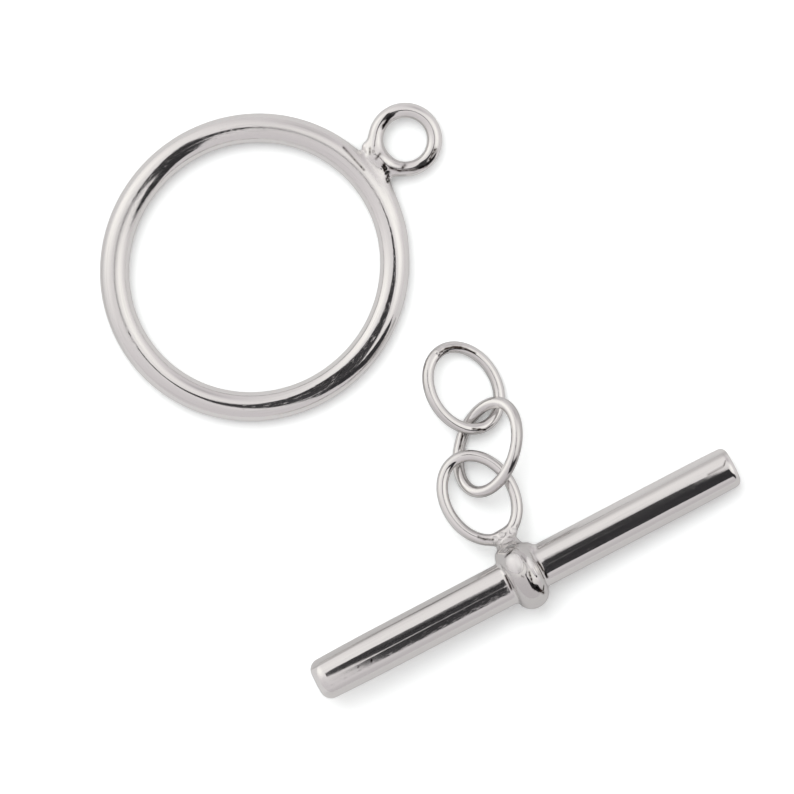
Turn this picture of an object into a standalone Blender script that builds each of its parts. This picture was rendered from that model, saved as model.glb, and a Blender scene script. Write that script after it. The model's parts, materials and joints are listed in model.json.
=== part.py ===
"""A toggle clasp in polished silver wire, laid out flat on a table, in metres with +Z up.

The ring half is a heavy wire ring with a small eye soldered to its edge. The bar half is a round bar
with a domed collar round its middle, an oval link soldered to the collar, and two loose oval links
that carry on from it. What is soldered is one solid. The middle link threads both of its neighbours:
its left side runs under them on the table, and its right side leans over them.
"""
import math
from collections import namedtuple

import bmesh
import bpy
from mathutils import Vector

# Ring half
RING_WIRE = 0.0020
RING_LENGTH = 0.0213          # over the outside, towards the eye
RING_WIDTH = 0.0207           # over the outside, across it
EYE_WIRE = 0.00105
EYE_DIAMETER = 0.00505        # over the outside
EYE_GAP = 0.00025             # between the ring's wire and the eye's, filled with solder
EYE_BEARING = math.radians(40.3)
RING_SOLDER_SPREAD = 0.0034   # how far the solder runs along the ring
EYE_SOLDER_SPREAD = 0.0023    # and along the eye

# Bar half
BAR_LENGTH = 0.0320
BAR_DIAMETER = 0.0030
BAR_END_ROUNDING = 0.00045
BAR_BEARING = math.radians(27.6)
COLLAR_DIAMETER = 0.0049
COLLAR_WIDTH = 0.0022         # of the dome, where it would meet the bar
COLLAR_FILLET = 0.0002        # of solder at each foot of the dome
COLLAR_SHIFT = -0.00015       # from the bar's middle, along the bar

# Links
LINK_WIRE = 0.0008
LINK_LENGTH = 0.00695         # over the outside
LINK_WIDTH = 0.0054           # over the outside
LINK_GAP = 0.0001             # between two links that lean on each other
NECK_WIDTH = 0.0015           # of the solder between the collar and its link
NECK_GAP = 0.00009            # between the collar and its link's wire
NECK_DROP = 0.00035           # of the soldered link's near end below the collar's middle
NECK_BEARING = math.radians(119.3)

# Room between the two halves as they lie
RING_STANDOFF = 0.0024        # from the toggle ring to the end link, along their centre line
RING_STANDOFF_BEARING = math.radians(150.1)

# Each link as a share of LINK_LENGTH, the way to its middle from the middle of the link before it, as a
# share of LINK_LENGTH and a bearing, and the bearing of its long axis. Bearings are in degrees.
LinkRow = namedtuple("LinkRow", "share way_share way_bearing bearing")
SOLDERED_LINK = LinkRow(share=1.00, way_share=0.0, way_bearing=0.0, bearing=122.5)
MIDDLE_LINK = LinkRow(share=1.02, way_share=0.501, way_bearing=81.1, bearing=71.0)
END_LINK = LinkRow(share=0.97, way_share=0.624, way_bearing=111.9, bearing=121.0)

# Heights along the chain, counted in steps of one wire and the gap between two
SOLDERED_FAR_STEPS = 1.20     # the soldered link's far end, above a wire that lies on the table
MIDDLE_OVER_STEPS = 1.50      # the middle link's high side, above the middle of the soldered link
MIDDLE_END_STEPS = 0.60       # the middle link's far end, above its near end
END_SIDE_STEPS = 1.50         # the end link's high side, above its low side

# Solder between the ring and the eye, from the middle of the ring's wire (reach 0) to the middle of the
# eye's (reach 1). spread_share runs from EYE_SOLDER_SPREAD (0) to RING_SOLDER_SPREAD (1), and
# thickness_share is of EYE_WIRE.
WebRow = namedtuple("WebRow", "reach spread_share thickness_share")
SOLDER_WEB = (
    WebRow(reach=0.12, spread_share=1.00, thickness_share=1.10),
    WebRow(reach=0.45, spread_share=0.90, thickness_share=1.08),
    WebRow(reach=0.58, spread_share=0.40, thickness_share=1.02),
    WebRow(reach=0.74, spread_share=0.02, thickness_share=0.95),
    WebRow(reach=1.00, spread_share=0.15, thickness_share=0.80),
)

# Solder between the collar and its link, from inside the dome (reach 0) to the middle of the link's
# wire (reach 1). width_share is of NECK_WIDTH, thickness_share of LINK_WIRE.
NECK_ROOT = 0.8               # where the solder starts, as a share of the collar's radius
NeckRow = namedtuple("NeckRow", "reach width_share thickness_share")
SOLDER_NECK = (
    NeckRow(reach=0.00, width_share=1.35, thickness_share=2.30),
    NeckRow(reach=0.40, width_share=1.18, thickness_share=1.80),
    NeckRow(reach=0.70, width_share=1.00, thickness_share=1.35),
    NeckRow(reach=1.00, width_share=1.20, thickness_share=1.20),
    NeckRow(reach=1.20, width_share=0.95, thickness_share=0.70),
)

# How finely round things are faceted
RING_STEPS = 72
RING_SIDES = 16
EYE_STEPS = 36
EYE_SIDES = 12
BAR_SIDES = 28
END_STEPS = 4
DOME_STEPS = 6
FILLET_STEPS = 3
LINK_STEPS = 16
LINK_SIDES = 6
SOLDER_SIDES = 16
SHARP_EDGE = math.radians(50)

SILVER = (0.88, 0.87, 0.86)
UP = Vector((0, 0, 1))


def clear_scene():
    for thing in list(bpy.data.objects):
        bpy.data.objects.remove(thing, do_unlink=True)


def silver(name, roughness):
    """Polished silver of its own for one piece."""
    material = bpy.data.materials.new(name)
    material.use_nodes = True
    shader = material.node_tree.nodes["Principled BSDF"]
    shader.inputs["Base Color"].default_value = (*SILVER, 1)
    shader.inputs["Metallic"].default_value = 1
    shader.inputs["Roughness"].default_value = roughness
    return material


def bearing_vector(bearing):
    return Vector((math.cos(bearing), math.sin(bearing), 0))


def quarter_turn(steps):
    return [math.pi / 2 * step / steps for step in range(steps + 1)]


def skin(form, sections, closed):
    """Faces between neighbouring sections. A closed skin joins its two ends, an open one is capped."""
    pairs = list(zip(sections, sections[1:]))
    if closed:
        pairs.append((sections[-1], sections[0]))
    else:
        form.faces.new(sections[0])
        form.faces.new(sections[-1])
    for near, far in pairs:
        for i in range(len(near)):
            j = (i + 1) % len(near)
            form.faces.new((near[i], near[j], far[j], far[i]))
    bmesh.ops.recalc_face_normals(form, faces=form.faces[:])


def make_object(name, form, parent):
    """Turns a bmesh into an object under the parent, shaded smooth except at its real edges."""
    mesh = bpy.data.meshes.new(name)
    form.to_mesh(mesh)
    form.free()
    mesh.shade_smooth()
    mesh.set_sharp_from_angle(angle=SHARP_EDGE)
    thing = bpy.data.objects.new(name, mesh)
    thing.parent = parent
    bpy.context.collection.objects.link(thing)
    return thing


def fuse(body, form):
    """Solders a form to a body, and hides the form."""
    form.hide_render = True
    form.display_type = "WIRE"
    union = body.modifiers.new("Solder " + form.name, "BOOLEAN")
    union.operation = "UNION"
    union.solver = "EXACT"
    union.object = form


def oval_wire(length, width, wire, steps, sides):
    """A closed oval of round wire, flat about Z 0, with a flat facet underneath all the way round."""
    half_length = (length - wire) / 2
    half_width = (width - wire) / 2
    form = bmesh.new()
    sections = []
    for step in range(steps):
        turn = math.tau * step / steps
        middle = Vector((half_length * math.cos(turn), half_width * math.sin(turn), 0))
        outward = Vector((half_width * math.cos(turn), half_length * math.sin(turn), 0)).normalized()
        section = []
        for side in range(sides):
            angle = math.tau * (side + 0.5) / sides
            point = middle + (outward * math.cos(angle) + UP * math.sin(angle)) * wire / 2
            section.append(form.verts.new(point))
        sections.append(section)
    skin(form, sections, closed=True)
    return form


def lens_section(form, along, half_width, half_height, bend=0.0):
    """An elliptical section across local X. Its width follows an arc of curvature bend."""
    section = []
    for side in range(SOLDER_SIDES):
        angle = math.tau * side / SOLDER_SIDES
        aside = half_width * math.cos(angle)
        x = along + bend * aside * aside / 2
        section.append(form.verts.new((x, aside, half_height * math.sin(angle))))
    return section


def eye_solder(eye_centre):
    """Solder that fills the notch between ring and eye. It follows the ring's curve, then the eye's."""
    ring_line = (RING_LENGTH - RING_WIRE) / 2
    eye_radius = (EYE_DIAMETER - EYE_WIRE) / 2
    eye_line = eye_centre - eye_radius
    form = bmesh.new()
    sections = []
    for row in SOLDER_WEB:
        along = ring_line + (eye_line - ring_line) * row.reach
        spread = EYE_SOLDER_SPREAD + (RING_SOLDER_SPREAD - EYE_SOLDER_SPREAD) * row.spread_share
        bend = row.reach / eye_radius - (1 - row.reach) / ring_line
        sections.append(lens_section(form, along, spread / 2, row.thickness_share * EYE_WIRE / 2, bend))
    skin(form, sections, closed=False)
    return form


def make_ring(parent):
    """The toggle ring with its eye: two wire rings and the solder between them, in one solid."""
    form = oval_wire(RING_LENGTH, RING_WIDTH, RING_WIRE, RING_STEPS, RING_SIDES)
    ring = make_object("toggle_ring", form, parent)
    eye_centre = RING_LENGTH / 2 + EYE_GAP + EYE_DIAMETER / 2
    form = oval_wire(EYE_DIAMETER, EYE_DIAMETER, EYE_WIRE, EYE_STEPS, EYE_SIDES)
    eye = make_object("eye_form", form, ring)
    eye.location.x = eye_centre
    fuse(ring, make_object("eye_solder_form", eye_solder(eye_centre), ring))
    fuse(ring, eye)
    ring.location.z = RING_WIRE / 2 * math.cos(math.pi / RING_SIDES)
    ring.rotation_euler.z = EYE_BEARING
    ring.data.materials.append(silver("ring silver", roughness=0.12))
    return ring


def bar_outline():
    """The turned outline of bar and collar, as (distance along the bar, radius), left end first."""
    radius = BAR_DIAMETER / 2
    dome_height = COLLAR_DIAMETER / 2 - radius
    dome_start = math.asin(COLLAR_FILLET / dome_height)
    foot = COLLAR_WIDTH / 2 * math.cos(dome_start)
    collar = []
    for step in range(DOME_STEPS + 1):
        angle = math.pi / 2 - (math.pi / 2 - dome_start) * step / DOME_STEPS
        collar.append((COLLAR_WIDTH / 2 * math.cos(angle), radius + dome_height * math.sin(angle)))
    for angle in quarter_turn(FILLET_STEPS)[1:]:
        away = COLLAR_FILLET * (1 - math.cos(angle))
        rise = COLLAR_FILLET * (1 - math.sin(angle))
        collar.append((foot + away, radius + rise))
    end = []
    for angle in quarter_turn(END_STEPS):
        inset = BAR_END_ROUNDING * (1 - math.sin(angle))
        drop = BAR_END_ROUNDING * (1 - math.cos(angle))
        end.append((BAR_LENGTH / 2 - inset, radius - drop))
    outline = [(-x, r) for x, r in reversed(end)]
    outline += [(COLLAR_SHIFT - x, r) for x, r in reversed(collar)]
    outline += [(COLLAR_SHIFT + x, r) for x, r in collar[1:]]
    return outline + end


def turned_bar():
    """The bar and its collar, turned about local X, with a flat facet straight below."""
    form = bmesh.new()
    sections = []
    for along, radius in bar_outline():
        section = []
        for side in range(BAR_SIDES):
            angle = math.tau * (side + 0.5) / BAR_SIDES
            section.append(form.verts.new((along, radius * math.sin(angle), -radius * math.cos(angle))))
        sections.append(section)
    skin(form, sections, closed=False)
    return form


def make_link(name, row, parent, middle, pitch, roll):
    """An oval link about its middle. Pitch lifts the end that its bearing points to, roll its left side."""
    form = oval_wire(LINK_LENGTH * row.share, LINK_WIDTH, LINK_WIRE, LINK_STEPS, LINK_SIDES)
    link = make_object(name, form, parent)
    link.location = middle
    link.rotation_euler = (roll, -pitch, math.radians(row.bearing))
    return link


def tilt_for(rise, span):
    """The tilt at which two points a span apart differ in height by rise."""
    return math.asin(rise / span)


def neck_solder(reach_to_wire):
    """Solder from inside the collar's dome, at local X, to its link's wire."""
    root = COLLAR_DIAMETER / 2 * NECK_ROOT
    form = bmesh.new()
    sections = []
    for row in SOLDER_NECK:
        along = root + (reach_to_wire - root) * row.reach
        half_height = row.thickness_share * LINK_WIRE / 2
        sections.append(lens_section(form, along, row.width_share * NECK_WIDTH / 2, half_height))
    skin(form, sections, closed=False)
    return form


def make_bar(parent, collar, soldered_middle, soldered_pitch):
    """The bar, lying on its collar and its right end, with the collar's link soldered on."""
    reach = BAR_LENGTH / 2 - BAR_END_ROUNDING - COLLAR_SHIFT
    tilt = math.atan((COLLAR_DIAMETER - BAR_DIAMETER) / 2 / reach)
    bar = make_object("toggle_bar", turned_bar(), parent)
    bar.rotation_euler = (0, tilt, BAR_BEARING)
    bar.location = collar - bar.rotation_euler.to_matrix() @ Vector((COLLAR_SHIFT, 0, 0))

    link = make_link("soldered_link_form", SOLDERED_LINK, parent, soldered_middle, soldered_pitch, roll=0)
    half_length = (LINK_LENGTH * SOLDERED_LINK.share - LINK_WIRE) / 2
    near_end = soldered_middle - link.rotation_euler.to_matrix() @ Vector((half_length, 0, 0))
    direction = near_end - collar
    neck = make_object("neck_solder_form", neck_solder(direction.length), parent)
    neck.location = collar
    neck.rotation_euler = direction.to_track_quat("X", "Z").to_euler()
    fuse(bar, neck)
    fuse(bar, link)
    bar.data.materials.append(silver("bar silver", roughness=0.10))
    return bar


def way_to(row):
    return bearing_vector(math.radians(row.way_bearing)) * LINK_LENGTH * row.way_share


def make_clasp():
    """Lays the clasp out from the collar: the bar, its chain of links, and the ring beyond them."""
    clasp = bpy.data.objects.new("toggle clasp", None)
    bpy.context.collection.objects.link(clasp)
    step = LINK_WIRE + LINK_GAP
    low = LINK_WIRE / 2
    across = LINK_WIDTH - LINK_WIRE

    collar = UP * COLLAR_DIAMETER / 2
    near_height = collar.z - NECK_DROP
    far_height = low + SOLDERED_FAR_STEPS * step
    length = LINK_LENGTH * SOLDERED_LINK.share
    soldered = bearing_vector(NECK_BEARING) * (COLLAR_DIAMETER / 2 + NECK_GAP + length / 2)
    soldered.z = (near_height + far_height) / 2
    pitch = tilt_for(far_height - near_height, length - LINK_WIRE)
    bar = make_bar(clasp, collar, soldered, pitch)

    side_rise = soldered.z + MIDDLE_OVER_STEPS * step - low
    end_rise = MIDDLE_END_STEPS * step
    middle = soldered + way_to(MIDDLE_LINK)
    middle.z = low + math.hypot(side_rise, end_rise) / 2
    pitch = tilt_for(end_rise, LINK_LENGTH * MIDDLE_LINK.share - LINK_WIRE)
    middle_link = make_link("middle_link", MIDDLE_LINK, clasp, middle, pitch, -tilt_for(side_rise, across))
    middle_link.data.materials.append(silver("middle link silver", roughness=0.12))

    side_rise = END_SIDE_STEPS * step
    end = middle + way_to(END_LINK)
    end.z = low + side_rise / 2
    end_link = make_link("end_link", END_LINK, clasp, end, 0, tilt_for(side_rise, across))
    end_link.data.materials.append(silver("end link silver", roughness=0.12))

    ring = make_ring(clasp)
    apart = RING_LENGTH / 2 + RING_STANDOFF + LINK_LENGTH * END_LINK.share / 2
    ring.location.xy = (end + bearing_vector(RING_STANDOFF_BEARING) * apart).xy
    return clasp, [ring, bar, middle_link, end_link]


def centre_over_origin(clasp, pieces):
    """Moves the whole clasp so that its outline is centred on the origin, as seen from above."""
    bpy.context.view_layer.update()
    depsgraph = bpy.context.evaluated_depsgraph_get()
    points = []
    for piece in pieces:
        evaluated = piece.evaluated_get(depsgraph)
        mesh = evaluated.to_mesh()
        points += [evaluated.matrix_world @ vertex.co for vertex in mesh.vertices]
        evaluated.to_mesh_clear()
    for axis in (0, 1):
        places = [point[axis] for point in points]
        clasp.location[axis] = -(min(places) + max(places)) / 2


clear_scene()
centre_over_origin(*make_clasp())
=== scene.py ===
import json
import math
from collections import namedtuple

import bpy
import numpy as np
from mathutils import Matrix, Vector


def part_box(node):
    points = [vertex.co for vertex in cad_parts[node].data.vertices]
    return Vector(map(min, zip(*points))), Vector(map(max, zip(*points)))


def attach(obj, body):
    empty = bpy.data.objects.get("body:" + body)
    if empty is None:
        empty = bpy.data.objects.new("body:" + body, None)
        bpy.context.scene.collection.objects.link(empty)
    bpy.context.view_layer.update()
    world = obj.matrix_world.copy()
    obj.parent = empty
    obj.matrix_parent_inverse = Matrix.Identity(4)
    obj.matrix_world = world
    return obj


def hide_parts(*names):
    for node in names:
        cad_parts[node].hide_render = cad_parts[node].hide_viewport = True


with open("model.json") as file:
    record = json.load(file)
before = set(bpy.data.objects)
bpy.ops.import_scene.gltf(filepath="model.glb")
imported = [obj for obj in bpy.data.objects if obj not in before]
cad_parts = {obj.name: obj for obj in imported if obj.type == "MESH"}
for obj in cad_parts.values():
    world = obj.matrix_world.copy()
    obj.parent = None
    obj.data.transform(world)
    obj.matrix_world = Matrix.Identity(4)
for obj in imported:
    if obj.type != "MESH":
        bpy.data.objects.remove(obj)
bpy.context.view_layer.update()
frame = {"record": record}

bl_info = {
    "name": "Toggle clasp",
    "version": (1, 0, 0),
    "blender": (4, 5, 0),
    "location": "3D View > Sidebar > Clasp",
    "description": "Dresses a silver toggle clasp: its ring and eye, its bar with a collar, and its links",
    "category": "Mesh",
}

MM = 0.001


# Places that come from the frame

def middle_of(node):
    low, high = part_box(node)
    return (low + high) / 2


def hole_middle():
    low, high = frame["record"]["physics"]["openings"][0]["box_m"]
    return ((low[0] + high[0]) / 2, (low[1] + high[1]) / 2)


# Settings

class RingSettings(bpy.types.PropertyGroup):
    place: bpy.props.FloatVectorProperty(
        name="Place", description="Middle of the toggle ring on the table",
        size=2, default=hole_middle(), subtype="XYZ", unit="LENGTH")
    wire: bpy.props.FloatProperty(
        name="Wire", description="Thickness of the toggle ring's wire", default=0.0020, unit="LENGTH")
    length: bpy.props.FloatProperty(
        name="Length", description="Outer size of the toggle ring towards its eye",
        default=0.0213, unit="LENGTH")
    width: bpy.props.FloatProperty(
        name="Width", description="Outer size of the toggle ring across", default=0.0207, unit="LENGTH")
    bearing: bpy.props.FloatProperty(
        name="Eye bearing", description="Direction of the eye from the ring's middle",
        default=math.radians(40.3), subtype="ANGLE")
    eye_wire: bpy.props.FloatProperty(
        name="Eye wire", description="Thickness of the eye's wire", default=0.00105, unit="LENGTH")
    eye_diameter: bpy.props.FloatProperty(
        name="Eye diameter", description="Outer diameter of the eye", default=0.00505, unit="LENGTH")
    eye_gap: bpy.props.FloatProperty(
        name="Eye gap", description="Solder between the ring's wire and the eye's",
        default=0.00025, unit="LENGTH")


class BarSettings(bpy.types.PropertyGroup):
    length: bpy.props.FloatProperty(
        name="Length", description="Length of the bar", default=0.0320, unit="LENGTH")
    diameter: bpy.props.FloatProperty(
        name="Diameter", description="Diameter of the bar", default=0.0030, unit="LENGTH")
    left_rounding: bpy.props.FloatProperty(
        name="Left rounding", description="Radius of the bar's worn left end",
        default=0.00075, unit="LENGTH")
    right_rounding: bpy.props.FloatProperty(
        name="Right rounding", description="Radius of the bar's worn right end, which it rests on",
        default=0.00045, unit="LENGTH")
    bearing: bpy.props.FloatProperty(
        name="Bearing", description="Direction of the bar on the table",
        default=math.radians(27.6), subtype="ANGLE")
    collar_diameter: bpy.props.FloatProperty(
        name="Collar diameter", description="Outer diameter of the collar", default=0.0049, unit="LENGTH")
    collar_width: bpy.props.FloatProperty(
        name="Collar width", description="Width of the collar along the bar",
        default=0.0022, unit="LENGTH")
    collar_shift: bpy.props.FloatProperty(
        name="Collar shift", description="Collar's place along the bar, from the bar's middle",
        default=-0.00015, unit="LENGTH")


class LinkSettings(bpy.types.PropertyGroup):
    wire: bpy.props.FloatProperty(
        name="Wire", description="Thickness of the links' wire", default=0.0008, unit="LENGTH")
    length: bpy.props.FloatProperty(
        name="Length", description="Outer length of a link", default=0.00695, unit="LENGTH")
    width: bpy.props.FloatProperty(
        name="Width", description="Outer width of a link", default=0.0054, unit="LENGTH")
    gap: bpy.props.FloatProperty(
        name="Gap", description="Room between two links that lean on each other",
        default=0.0001, unit="LENGTH")


class SilverSettings(bpy.types.PropertyGroup):
    colour: bpy.props.FloatVectorProperty(
        name="Silver", description="Colour of the polished silver",
        size=3, default=(0.88, 0.87, 0.86), min=0, max=1, subtype="COLOR")


class StageSettings(bpy.types.PropertyGroup):
    floor_seen: bpy.props.FloatVectorProperty(
        name="Floor", description="Colour of the floor where the camera sees it",
        size=3, default=(1.285, 1.33, 1.33), min=0, subtype="COLOR")
    floor_mirrored: bpy.props.FloatVectorProperty(
        name="Mirrored floor", description="Colour of the floor where the silver mirrors it",
        size=3, default=(0.70, 0.70, 0.70), min=0, subtype="COLOR")


# Shapes, as signed distances in millimetres from a surface

# Rounds of looking for the nearest place of an oval, and the least curve that a round divides by
OVAL_ROUNDS = 4
LEAST_CURVE = 1e-3

# A lump has a middle, half sizes and a turn in degrees about Z. A stroke has two ends, a half width and a
# strength.
Lump = namedtuple("Lump", "middle sizes turn", defaults=(0,))
Stroke = namedtuple("Stroke", "start end reach strength")


def soft_join(a, b, reach):
    """The union of two shapes with a fillet that reaches this far."""
    near = np.maximum(reach - np.abs(a - b), 0) / reach
    return np.minimum(a, b) - near * near * reach / 4


def ball(points, lump):
    """The distance from a lump."""
    p = points - np.array(lump.middle)
    turn = math.radians(lump.turn)
    c, s = math.cos(turn), math.sin(turn)
    p = np.stack([p[:, 0] * c + p[:, 1] * s, p[:, 1] * c - p[:, 0] * s, p[:, 2]], 1)
    return (np.linalg.norm(p / np.array(lump.sizes), axis=1) - 1) * min(lump.sizes)


def add_lumps(body, points, lumps, fillet):
    for lump in lumps:
        body = soft_join(body, ball(points, lump), fillet)
    return body


def cut_lumps(body, points, lumps, fillet):
    return -add_lumps(-body, points, lumps, fillet)


def oval_line(points, half_length, half_width):
    """Offset from the nearest place of an oval centre line, outwards and upwards."""
    x, y = np.abs(points[:, 0]), np.abs(points[:, 1])
    turn = np.arctan2(half_length * y, half_width * x)
    stretch = half_length ** 2 - half_width ** 2
    for _ in range(OVAL_ROUNDS):
        c, s = np.cos(turn), np.sin(turn)
        slope = half_length * x * s - half_width * y * c - stretch * c * s
        curve = half_length * x * c + half_width * y * s - stretch * (c * c - s * s)
        turn = np.clip(turn - slope / np.maximum(curve, LEAST_CURVE), 0, math.pi / 2)
    away = np.hypot(half_length * np.cos(turn) - x, half_width * np.sin(turn) - y)
    outside = (x / half_length) ** 2 + (y / half_width) ** 2 > 1
    return np.where(outside, away, -away), points[:, 2]


def round_wire(offset, wire):
    return np.hypot(*offset) - wire / 2


def way_round(points):
    """Distance round a ring, starting and ending at its X axis."""
    x, y = points[:, 0], points[:, 1]
    return np.arctan2(-y, -x) * np.hypot(x, y)


def off_line(points, start, end):
    """Offset of points from the nearest place of a straight line between two ends."""
    way = end - start
    t = np.clip((points - start) @ way / (way @ way), 0, 1)
    return points - start - t[:, None] * way


def local(points, place, axes):
    """Points seen from a piece that has its own place and axes."""
    return (points - np.array(place)) @ axes


# Marks, by how strong they are at a value or at points

# A hill is full at its middle and fades over its reach. A slope climbs from its start at a rate, up to its
# most.
Hill = namedtuple("Hill", "strength middle reach")
Slope = namedtuple("Slope", "start rate most")


def on_hill(value, hill):
    return hill.strength * np.exp(-((value - hill.middle) / hill.reach) ** 2)


def on_slope(value, slope):
    return np.clip((value - slope.start) * slope.rate, 0, slope.most)


def inside(distance, fade):
    """1 inside a shape and 0 outside it, with a fade of this width across its surface."""
    return np.clip(0.5 - distance / fade, 0, 1)


def strokes(points, lines, above=0.0):
    """The strength of the strongest stroke at points above a height, and nothing below it."""
    total = np.zeros(len(points))
    for line in lines:
        away = off_line(points[:, :2], np.array(line.start), np.array(line.end))
        faded = np.exp(-(np.linalg.norm(away, axis=1) / line.reach) ** 2)
        total = np.maximum(total, line.strength * faded * (points[:, 2] > above))
    return total


# From a shape to a mesh

# Grid pitches for thick and for thin pieces, in millimetres, and rounds of moving vertices onto the surface
THICK_PITCH = 0.08
THIN_PITCH = 0.05
SKIN_ROUNDS = 3

# What a piece is made from, in millimetres and in its own frame: functions of points that give its
# distance, its grain (outwards, upwards and along the wire) and its marks (solder, wear and painted
# shade), and the block and the pitch of its grid
Form = namedtuple("Form", "shape grain marks low high pitch")


def crossings(values, axis):
    """Where the surface crosses the grid's edges along an axis."""
    first = np.take(values, range(values.shape[axis] - 1), axis)
    second = np.take(values, range(1, values.shape[axis]), axis)
    return (first < 0) != (second < 0), first, second


def grid_skin(shape, low, high, pitch):
    """Vertices and quads of a shape's surface, from a grid with one vertex to each cell that it crosses."""
    low = np.array(low, float)
    counts = np.ceil((np.array(high) - low) / pitch).astype(int) + 1
    lines = [low[i] + pitch * np.arange(counts[i]) for i in range(3)]
    grid = np.stack(np.meshgrid(*lines, indexing="ij"), -1).reshape(-1, 3)
    values = shape(grid).reshape(counts)
    cells = counts - 1
    total = np.zeros((*cells, 3))
    hits = np.zeros(cells)
    quads = []
    number = np.arange(cells.prod()).reshape(cells)
    for axis in range(3):
        crossed, first, second = crossings(values, axis)
        place = np.argwhere(crossed)
        a, b = first[crossed], second[crossed]
        at = place.astype(float)
        at[:, axis] += a / (a - b)
        others = [i for i in range(3) if i != axis]
        whole = np.ones(len(place), bool)
        for i in others:
            whole &= (place[:, i] > 0) & (place[:, i] < cells[i])
        corners = []
        for step in ((0, 0), (1, 0), (1, 1), (0, 1)):
            cell = place.copy()
            for i, back in zip(others, step):
                cell[:, i] -= back
            ok = np.all((cell >= 0) & (cell < cells), axis=1)
            np.add.at(total, tuple(cell[ok].T), at[ok])
            np.add.at(hits, tuple(cell[ok].T), 1)
            corners.append(cell[whole])
        ring = np.stack([number[tuple(corner.T)] for corner in corners], 1)
        flip = (a[whole] < 0) == (axis == 1)
        ring[flip] = ring[flip][:, ::-1]
        quads.append(ring)
    used = hits > 0
    index = np.full(cells.prod(), -1)
    index[used.ravel()] = np.arange(used.sum())
    vertices = low + pitch * total[used] / hits[used][:, None]
    return vertices, index[np.concatenate(quads)]


def gradient(shape, points, reach=1e-3):
    """Gradient of a shape's distance at points."""
    steps = np.eye(3) * reach
    return np.stack([(shape(points + s) - shape(points - s)) / (2 * reach) for s in steps], 1)


def make_piece(name, node, form, place, axes, finish, shine_axes=None):
    """A piece in place of its node, at a place in millimetres and along its axes. The normals that it shines
    by can have axes of their own."""
    points, quads = grid_skin(form.shape, form.low, form.high, form.pitch)
    for _ in range(SKIN_ROUNDS):
        slope = gradient(form.shape, points)
        points -= slope * (form.shape(points) / (slope ** 2).sum(1))[:, None]
    normals = gradient(form.shape, points)
    normals /= np.linalg.norm(normals, axis=1)[:, None]
    mesh = bpy.data.meshes.new(name)
    mesh.from_pydata((points @ axes.T + np.array(place)) * MM, [], quads)
    mesh.shade_smooth()
    mesh.normals_split_custom_set_from_vertices(normals @ (axes if shine_axes is None else shine_axes).T)
    for title, values in (("grain", form.grain(points)), ("marks", form.marks(points))):
        attribute = mesh.attributes.new(title, "FLOAT_VECTOR", "POINT")
        attribute.data.foreach_set("vector", np.stack(values, 1).astype(np.float32).ravel())
    mesh.materials.append(finish)
    piece = bpy.data.objects.new(name, mesh)
    bpy.context.collection.objects.link(piece)
    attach(piece, "root")
    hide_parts(node)
    return piece


# Finishes

class Signal:
    """A shader socket that Python's arithmetic adds Math nodes to."""

    def __init__(self, nodes, socket):
        self.nodes = nodes
        self.socket = socket

    def _math(self, operation, *values):
        return self.nodes.node("ShaderNodeMath", {"operation": operation}, dict(enumerate(values)))

    def exponent(self):
        return self._math("EXPONENT", self)

    def __add__(self, other):
        return self._math("ADD", self, other)

    __radd__ = __add__

    def __sub__(self, other):
        return self._math("SUBTRACT", self, other)

    def __rsub__(self, other):
        return self._math("SUBTRACT", other, self)

    def __mul__(self, other):
        return self._math("MULTIPLY", self, other)

    __rmul__ = __mul__


class Nodes:
    """A node tree and the one method that adds nodes to it."""

    def __init__(self, tree):
        self.tree = tree

    def fill(self, node, sockets):
        for key, value in sockets.items():
            if isinstance(value, Signal):
                self.tree.links.new(value.socket, node.inputs[key])
            else:
                node.inputs[key].default_value = value

    def node(self, kind, settings=None, sockets=None, output=0):
        node = self.tree.nodes.new(kind)
        for key, value in (settings or {}).items():
            setattr(node, key, value)
        self.fill(node, sockets or {})
        return Signal(self, node.outputs[output])


# The dark colour of painted shade and painted dark reflections, and of the streaks' lines
SHADE_AND_LINE_COLOUR = (0.046, 0.033, 0.028)

# Noise that runs along the wire, in waves to a millimetre outwards, upwards and along it
STREAK_WAVES = (9.0, 9.0, 0.25)
HAIR_WAVES = (14.0, 14.0, 2.2)

# Noise that runs all ways alike, in waves to a metre
PATCH_WAVES = 420.0
LUMP_WAVES = 3200.0
SPECK_WAVES = 5200.0

# How sharply scratches, specks of painted shade and dark lines begin, and the streaks that are strong
# enough for a line
SCRATCH_EDGE = 7.0
SPECK_EDGE = 9.0
LINE_EDGE = 8.0
LINE_FROM = 0.56

# How dark the painted shade is for its strength, and how dark a line is
SHADE_DARKNESS = 1.3
LINE_TARNISH = 0.06

# Height in metres of one unit of the bumps, and how many units the noises are high
BUMP = 2e-6
LUMP_HEIGHT = 8.0
PATCH_HEIGHT = 2.0
SCRATCH_HEIGHT = 0.5

# Roughness of clean silver, and what the marks add to it
ROUGHNESS = 0.05
STREAK_ROUGHNESS = 0.06
SOLDER_ROUGHNESS = 0.08
SCRATCH_ROUGHNESS = 0.16
SATIN_ROUGHNESS = 0.3

# How much of its mirror satin silver loses
SATIN_LOSS = 0.5


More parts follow.
